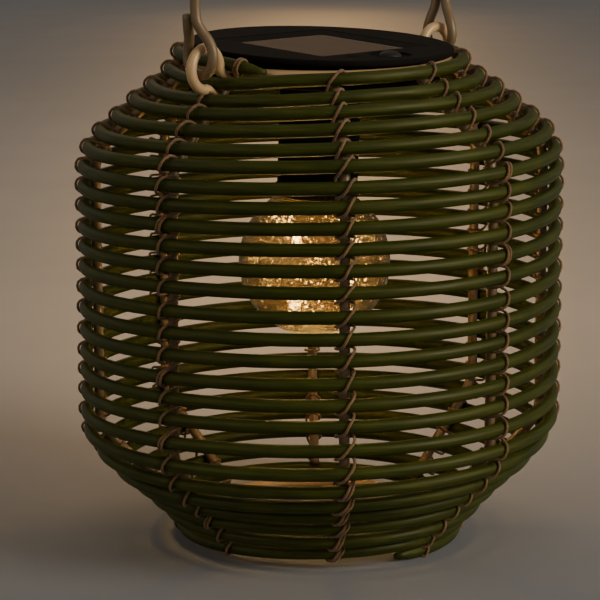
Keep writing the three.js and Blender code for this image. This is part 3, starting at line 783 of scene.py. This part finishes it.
lamp_pieces = [cover, base, neck, collar, globe, button, lamp_wire, leds]
for o in lamp_pieces + cane_pieces + wire_pieces + twine_pieces:
    fix_normals(o)


# ------------------------------------------------------------------ materials
def material(name, **settings):
    """A Principled material; a setting is the name of an input with _ for each space."""
    m = bpy.data.materials.new(name)
    m.use_nodes = True
    bsdf = m.node_tree.nodes["Principled BSDF"]
    for key, value in settings.items():
        bsdf.inputs[key.replace("_", " ")].default_value = (*value, 1) if isinstance(value, tuple) else value
    return m, m.node_tree, bsdf


def coords(nt, scale=(1, 1, 1), rotation=(0, 0, 0)):
    tex = nt.nodes.new("ShaderNodeTexCoord")
    mp = nt.nodes.new("ShaderNodeMapping")
    mp.inputs["Scale"].default_value = scale
    mp.inputs["Rotation"].default_value = rotation
    nt.links.new(tex.outputs["Object"], mp.inputs["Vector"])
    return mp.outputs["Vector"]


def split(nt, vector):
    n = nt.nodes.new("ShaderNodeSeparateXYZ")
    nt.links.new(vector, n.inputs[0])
    return n.outputs


def combine(nt, *values):
    n = nt.nodes.new("ShaderNodeCombineXYZ")
    for value, socket in zip(values, n.inputs):
        nt.links.new(value, socket)
    return n.outputs[0]


def maths(nt, operation, value, other):
    """other is a number or a socket."""
    n = nt.nodes.new("ShaderNodeMath")
    n.operation = operation
    nt.links.new(value, n.inputs[0])
    if isinstance(other, (int, float)):
        n.inputs[1].default_value = other
    else:
        nt.links.new(other, n.inputs[1])
    return n.outputs[0]


def vector_maths(nt, operation, vector):
    n = nt.nodes.new("ShaderNodeVectorMath")
    n.operation = operation
    nt.links.new(vector, n.inputs[0])
    return n


def voronoi(nt, vector, scale, feature="F1"):
    n = nt.nodes.new("ShaderNodeTexVoronoi")
    n.feature = feature
    n.inputs["Scale"].default_value = scale
    nt.links.new(vector, n.inputs["Vector"])
    return n.outputs


def noise_tex(nt, vector, scale, detail=4.0, rough=0.55):
    n = nt.nodes.new("ShaderNodeTexNoise")
    n.inputs["Scale"].default_value = scale
    n.inputs["Detail"].default_value = detail
    n.inputs["Roughness"].default_value = rough
    nt.links.new(vector, n.inputs["Vector"])
    return n.outputs["Fac"]


def ramp(nt, fac, stops):
    r = nt.nodes.new("ShaderNodeValToRGB")
    e = r.color_ramp.elements
    while len(e) < len(stops):
        e.new(0.5)
    for i, (pos, col) in enumerate(stops):
        e[i].position = pos
        e[i].color = col if len(col) == 4 else (*col, 1)
    nt.links.new(fac, r.inputs["Fac"])
    return r.outputs["Color"]


def maprange(nt, value, a, b, c, d):
    n = nt.nodes.new("ShaderNodeMapRange")
    for k, v in zip(("From Min", "From Max", "To Min", "To Max"), (a, b, c, d)):
        n.inputs[k].default_value = v
    nt.links.new(value, n.inputs["Value"])
    return n.outputs["Result"]


def bump(nt, bsdf, height, strength, distance, previous=None):
    """With no bsdf, only a first layer for another bump."""
    b = nt.nodes.new("ShaderNodeBump")
    b.inputs["Strength"].default_value = strength
    b.inputs["Distance"].default_value = distance
    nt.links.new(height, b.inputs["Height"])
    if previous is not None:
        nt.links.new(previous, b.inputs["Normal"])
    if bsdf is not None:
        nt.links.new(b.outputs["Normal"], bsdf.inputs["Normal"])
    return b.outputs["Normal"]


def mix(nt, fac, a, b, blend="MIX"):
    n = nt.nodes.new("ShaderNodeMix")
    n.data_type = "RGBA"
    n.blend_type = blend
    if isinstance(fac, (int, float)):
        n.inputs["Factor"].default_value = fac
    else:
        nt.links.new(fac, n.inputs["Factor"])
    for sock, v in ((6, a), (7, b)):
        if isinstance(v, tuple):
            n.inputs[sock].default_value = v if len(v) == 4 else (*v, 1)
        else:
            nt.links.new(v, n.inputs[sock])
    return n.outputs[2]


def assign(obj, mat):
    obj.data.materials.clear()
    obj.data.materials.append(mat)


def ring_coords(nt, scale):
    """Coordinates that run along the turns of cane: azimuth, radius and height, each times its scale."""
    x, y, z = split(nt, nt.nodes.new("ShaderNodeTexCoord").outputs["Object"])
    azimuth = maths(nt, "ARCTAN2", y, x)
    radius = vector_maths(nt, "LENGTH", combine(nt, x, y)).outputs["Value"]
    return combine(nt, *(maths(nt, "MULTIPLY", v, k) for v, k in zip((azimuth, radius, z), scale)))


def cane_material():
    m, nt, bsdf = material("cane_olive", Specular_IOR_Level=0.34, Specular_Tint=(1.0, 0.90, 0.58))
    streak = noise_tex(nt, ring_coords(nt, (1.6, 260.0, 260.0)), 3.0, 5.0, 0.6)
    patch = noise_tex(nt, ring_coords(nt, (2.4, 16.0, 16.0)), 2.0, 3.0, 0.5)
    fleck = noise_tex(nt, coords(nt), 900.0, 3.0, 0.7)
    base = ramp(nt, streak, [(0.28, (0.0165, 0.0225, 0.0006)), (0.5, (0.032, 0.0405, 0.0010)),
                             (0.74, (0.055, 0.063, 0.0024))])
    tone = ramp(nt, patch, [(0.3, (0.70, 0.74, 0.66)), (0.7, (1.2, 1.14, 1.05))])
    nt.links.new(mix(nt, 1.0, base, tone, "MULTIPLY"), bsdf.inputs["Base Color"])
    nt.links.new(maprange(nt, patch, 0.3, 0.7, 0.44, 0.58), bsdf.inputs["Roughness"])
    bump(nt, bsdf, fleck, 0.12, 0.0002, bump(nt, None, streak, 0.35, 0.0004))
    return m


# tone lightens or darkens the one cream powder coat; the copies made with it carry painted light and painted
# shade
def wire_material(name, tone):
    m, nt, bsdf = material(name, Metallic=0.15)
    v = coords(nt)
    peel = noise_tex(nt, v, 700.0, 2.0, 0.5)
    patch = noise_tex(nt, v, 38.0, 4.0, 0.6)
    wear = noise_tex(nt, v, 160.0, 6.0, 0.75)
    base = ramp(nt, patch, [(0.3, tuple(tone * c for c in (0.36, 0.232, 0.106))),
                            (0.7, tuple(tone * c for c in (0.48, 0.32, 0.158)))])
    spots = ramp(nt, wear, [(0.66, (0, 0, 0)), (0.73, (1, 1, 1))])
    nt.links.new(mix(nt, spots, base, (0.16, 0.10, 0.055)), bsdf.inputs["Base Color"])
    nt.links.new(maprange(nt, patch, 0.3, 0.7, 0.34, 0.48), bsdf.inputs["Roughness"])
    bump(nt, bsdf, peel, 0.18, 0.0003)
    return m


def twine_material():
    m, nt, bsdf = material("twine_brown", Roughness=0.72, Sheen_Weight=0.25)
    v = coords(nt)
    fibre = noise_tex(nt, v, 1500.0, 4.0, 0.7)
    patch = noise_tex(nt, v, 120.0, 3.0, 0.5)
    base = ramp(nt, fibre, [(0.25, (0.070, 0.031, 0.008)), (0.5, (0.180, 0.092, 0.026)),
                            (0.78, (0.38, 0.22, 0.072))])
    tone = ramp(nt, patch, [(0.3, (0.75, 0.72, 0.7)), (0.7, (1.25, 1.2, 1.15))])
    nt.links.new(mix(nt, 1.0, base, tone, "MULTIPLY"), bsdf.inputs["Base Color"])
    bump(nt, bsdf, fibre, 0.6, 0.0003)
    return m


def shell_material():
    m, nt, bsdf = material("shell_charcoal", Specular_IOR_Level=0.10)
    v = coords(nt)
    grain = noise_tex(nt, v, 1400.0, 3.0, 0.6)
    cloud = noise_tex(nt, v, 45.0, 4.0, 0.6)
    dust = noise_tex(nt, v, 420.0, 6.0, 0.8)
    base = ramp(nt, cloud, [(0.3, (0.0045, 0.0033, 0.0024)), (0.7, (0.0080, 0.0060, 0.0044))])
    specks = ramp(nt, dust, [(0.68, (0, 0, 0)), (0.78, (1, 1, 1))])
    nt.links.new(mix(nt, specks, base, (0.022, 0.018, 0.014)), bsdf.inputs["Base Color"])
    nt.links.new(maprange(nt, cloud, 0.3, 0.7, 0.74, 0.86), bsdf.inputs["Roughness"])
    bump(nt, bsdf, grain, 0.25, 0.0002)
    return m


def rubber_material(name, tint, rough):
    m, nt, bsdf = material(name, Specular_IOR_Level=0.25)
    v = coords(nt)
    grain = noise_tex(nt, v, 1100.0, 4.0, 0.6)
    cloud = noise_tex(nt, v, 150.0, 3.0, 0.5)
    base = ramp(nt, cloud, [(0.3, tint), (0.7, tuple(1.7 * c for c in tint))])
    nt.links.new(base, bsdf.inputs["Base Color"])
    nt.links.new(maprange(nt, cloud, 0.3, 0.7, rough - 0.06, rough + 0.08), bsdf.inputs["Roughness"])
    bump(nt, bsdf, grain, 0.2, 0.0002)
    return m


def cell_material():
    """Dark silicon with fine fingers and busbars."""
    m, nt, bsdf = material("cell_silicon", Roughness=0.45, Specular_IOR_Level=0.2)
    v = coords(nt, rotation=(0, 0, math.pi / 4))
    x, y, z = split(nt, v)

    def lines(across, pitch, half_width):
        return maths(nt, "LESS_THAN", maths(nt, "PINGPONG", across, pitch / 2), half_width)

    col = mix(nt, 0.25, (0.026, 0.016, 0.010), voronoi(nt, v, 180.0)["Color"], "MULTIPLY")
    col = mix(nt, lines(x, 0.0024, 0.00009), col, (0.075, 0.055, 0.04))
    col = mix(nt, lines(y, 0.0190, 0.0005), col, (0.12, 0.09, 0.07))
    nt.links.new(col, bsdf.inputs["Base Color"])
    return m


def window_material():
    m, nt, bsdf = material("window_clear", Base_Color=(0.80, 0.80, 0.80), Transmission_Weight=1.0, IOR=1.20,
                           Specular_Tint=(1.0, 0.84, 0.68))
    haze = noise_tex(nt, coords(nt), 60.0, 4.0, 0.6)
    nt.links.new(maprange(nt, haze, 0.3, 0.7, 0.02, 0.06), bsdf.inputs["Roughness"])
    return m


def board_material():
    m, nt, bsdf = material("board_green", Roughness=0.35)
    edges = voronoi(nt, coords(nt), 260.0, "DISTANCE_TO_EDGE")["Distance"]
    tracks = ramp(nt, edges, [(0.03, (0.05, 0.30, 0.12)), (0.10, (0.012, 0.12, 0.04))])
    nt.links.new(tracks, bsdf.inputs["Base Color"])
    return m


def battery_material():
    m, nt, bsdf = material("battery_sleeve", Roughness=0.3)
    cloud = noise_tex(nt, coords(nt), 90.0, 3.0, 0.5)
    col = ramp(nt, cloud, [(0.3, (0.020, 0.075, 0.19)), (0.7, (0.03, 0.10, 0.25))])
    nt.links.new(col, bsdf.inputs["Base Color"])
    return m


def globe_material():
    """Clear crackled shell with fine relief between its cracks, and a smooth frosted bottom."""
    m, nt, bsdf = material("globe_crackle", Base_Color=(1.0, 0.84, 0.50), Transmission_Weight=1.0, IOR=1.45)
    v = coords(nt)
    warp = noise_tex(nt, v, 60.0, 2.0, 0.5)
    shift = vector_maths(nt, "SCALE", combine(nt, warp, warp, warp))
    shift.inputs["Scale"].default_value = 0.010
    warped = vector_maths(nt, "ADD", v)
    nt.links.new(shift.outputs[0], warped.inputs[1])
    edges = voronoi(nt, warped.outputs[0], 420.0, "DISTANCE_TO_EDGE")["Distance"]
    cracks = ramp(nt, edges, [(0.0, (0, 0, 0)), (0.12, (1, 1, 1))])
    wave = noise_tex(nt, coords(nt, scale=(40.0, 40.0, 230.0)), 1.0, 4.0, 0.6)
    body = maprange(nt, split(nt, v)["Z"], 0.103, 0.106, 0.0, 1.0)
    relief = mix(nt, body, (0.5, 0.5, 0.5), mix(nt, 0.45, wave, cracks))
    nt.links.new(maprange(nt, body, 0.0, 1.0, 0.45, 0.03), bsdf.inputs["Roughness"])
    bump(nt, bsdf, relief, 0.28, 0.0010)
    return m


def copper_material():
    m, nt, bsdf = material("led_wire_copper", Metallic=1.0, Roughness=0.3)
    cloud = noise_tex(nt, coords(nt), 500.0, 3.0, 0.5)
    col = ramp(nt, cloud, [(0.3, (0.42, 0.20, 0.08)), (0.7, (0.72, 0.40, 0.19))])
    nt.links.new(col, bsdf.inputs["Base Color"])
    return m


def led_material():
    m, nt, bsdf = material("led_glow", Base_Color=(0.9, 0.7, 0.3), Roughness=0.2, Emission_Strength=140.0)
    cloud = noise_tex(nt, coords(nt), 900.0, 2.0, 0.5)
    col = ramp(nt, cloud, [(0.3, (1.0, 0.60, 0.20)), (0.7, (1.0, 0.70, 0.30))])
    nt.links.new(col, bsdf.inputs["Emission Color"])
    return m


def floor_material():
    """Pale, with painted shade that darkens it towards the camera."""
    m, nt, bsdf = material("floor_pale", Roughness=0.8)
    cloud = noise_tex(nt, coords(nt), 6.0, 4.0, 0.6)
    grain = ramp(nt, cloud, [(0.3, (0.325, 0.33, 0.335)), (0.7, (0.35, 0.355, 0.36))])
    # painted shade: the floor's colour darkens towards the camera
    depth = maprange(nt, split(nt, coords(nt))["Y"], -0.25, 0.55, 0.0, 1.0)
    shade = ramp(nt, depth, [(0.0, (0.56, 0.56, 0.57)), (1.0, (1, 1, 1))])
    nt.links.new(mix(nt, 1.0, grain, shade, "MULTIPLY"), bsdf.inputs["Base Color"])
    return m


for pieces, mat in ((cane_pieces, cane_material()), (twine_pieces, twine_material()),
                    ((cover, base, neck, collar), shell_material())):
    for o in pieces:
        assign(o, mat)
# one cream powder coat in three copies: the rods and the bail get a darker copy, which is painted shade, and
# the welded rings and loops a lighter copy, which is painted light
# painted shade: the rods and the bail are darkened copies of the one cream
painted_shade_wire_looks = {"rib": wire_material("wire_cream_rib", 0.5), "bail": wire_material("wire_cream_bail", 0.46)}
# painted light: the rings and loops get a lightened copy of the same cream, to brighten them in their shade
wire_cream = wire_material("wire_cream", 1.45)
for o in wire_pieces:
    assign(o, painted_shade_wire_looks.get(o.name.split("_")[0], wire_cream))
assign(button, rubber_material("button_rubber", (0.012, 0.011, 0.010), 0.55))
assign(globe, globe_material())
assign(lamp_wire, copper_material())
assign(leds, led_material())
assign(NODES["solar_cell"], cell_material())
assign(NODES["panel_window"], window_material())
assign(NODES["circuit_board"], board_material())
assign(NODES["battery"], battery_material())
assign(NODES["tact_switch"], rubber_material("switch_black", (0.02, 0.02, 0.02), 0.4))

# ------------------------------------------------------------------ floor
floor_corners = [(-9000, -4000, 0), (9000, -4000, 0), (9000, 12000, 0), (-9000, 12000, 0)]
floor = new_object("floor", floor_corners, [(0, 1, 2, 3)], smooth=False)
assign(floor, floor_material())

# ------------------------------------------------------------------ light
world = bpy.data.worlds.new("studio")
bpy.context.scene.world = world
world.use_nodes = True
wt = world.node_tree
background = wt.nodes["Background"]
# a soft dark flag low behind the lantern, which the panel window mirrors
dot = vector_maths(wt, "DOT_PRODUCT", wt.nodes.new("ShaderNodeTexCoord").outputs["Generated"])
dot.inputs[1].default_value = (0.0, 0.966, 0.259)
flag = maprange(wt, dot.outputs["Value"], 0.80, 0.96, 0.0, 1.0)
wt.links.new(mix(wt, flag, (0.62, 0.59, 0.55), (0.36, 0.235, 0.145)), background.inputs["Color"])
background.inputs["Strength"].default_value = 0.38


def add_object(name, data, place):
    obj = bpy.data.objects.new(name, data)
    bpy.context.scene.collection.objects.link(obj)
    obj.location = place
    return obj


def add_light(name, kind, power, color, place):
    data = bpy.data.lights.new(name, kind)
    data.energy = power
    data.color = color
    return add_object(name, data, place)


def area(name, place, look, size, power, color):
    obj = add_light(name, "AREA", power, color, place)
    obj.data.shape = "RECTANGLE"
    obj.data.size, obj.data.size_y = size
    obj.rotation_euler = (Vector(look) - Vector(place)).to_track_quat("-Z", "Y").to_euler()
    return obj


def unseen(obj):
    """Lights the scene, but shows neither straight, nor in a mirror, nor through glass."""
    obj.visible_camera = False
    obj.visible_glossy = False
    obj.visible_transmission = False


area("key", (1.5, -0.8, 0.85), (0.0, 0.0, 0.16), (0.8, 0.8), 22.0, (1.0, 0.92, 0.80))
area("fill", (-1.4, -0.9, 0.7), (0.0, 0.0, 0.12), (1.2, 1.2), 3.2, (1.0, 0.88, 0.74))
area("rim", (-0.4, 1.4, 1.1), (0.0, 0.55, 0.0), (1.1, 0.7), 1.6, (1.0, 0.78, 0.55))
# a long warm strip over the floor behind the lantern, which gives the backdrop its soft glow
unseen(area("strip", (0.0, 1.79, 0.225), (0.0, 1.79, 0.0), (0.12, 3.22), 5.8, (1.0, 0.54, 0.17)))

glow = add_light("globe_glow", "POINT", 0.03, (1.0, 0.52, 0.18), LEAN @ Vector((0, 0, GLOBE_Z * MM)))
glow.data.shadow_soft_size = 0.034
unseen(glow)
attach(glow, "lamp")
globe.visible_shadow = False

# ------------------------------------------------------------------ camera
cam = add_object("camera", bpy.data.cameras.new("camera"), (0.0, -1.208, 0.3556))
cam.data.sensor_width = 36.0
cam.data.lens = 147.7
cam.data.clip_start, cam.data.clip_end = 0.05, 20.0
cam.rotation_euler = (rad(90 - 11.1), 0.0, rad(0.46))
bpy.context.scene.camera = cam
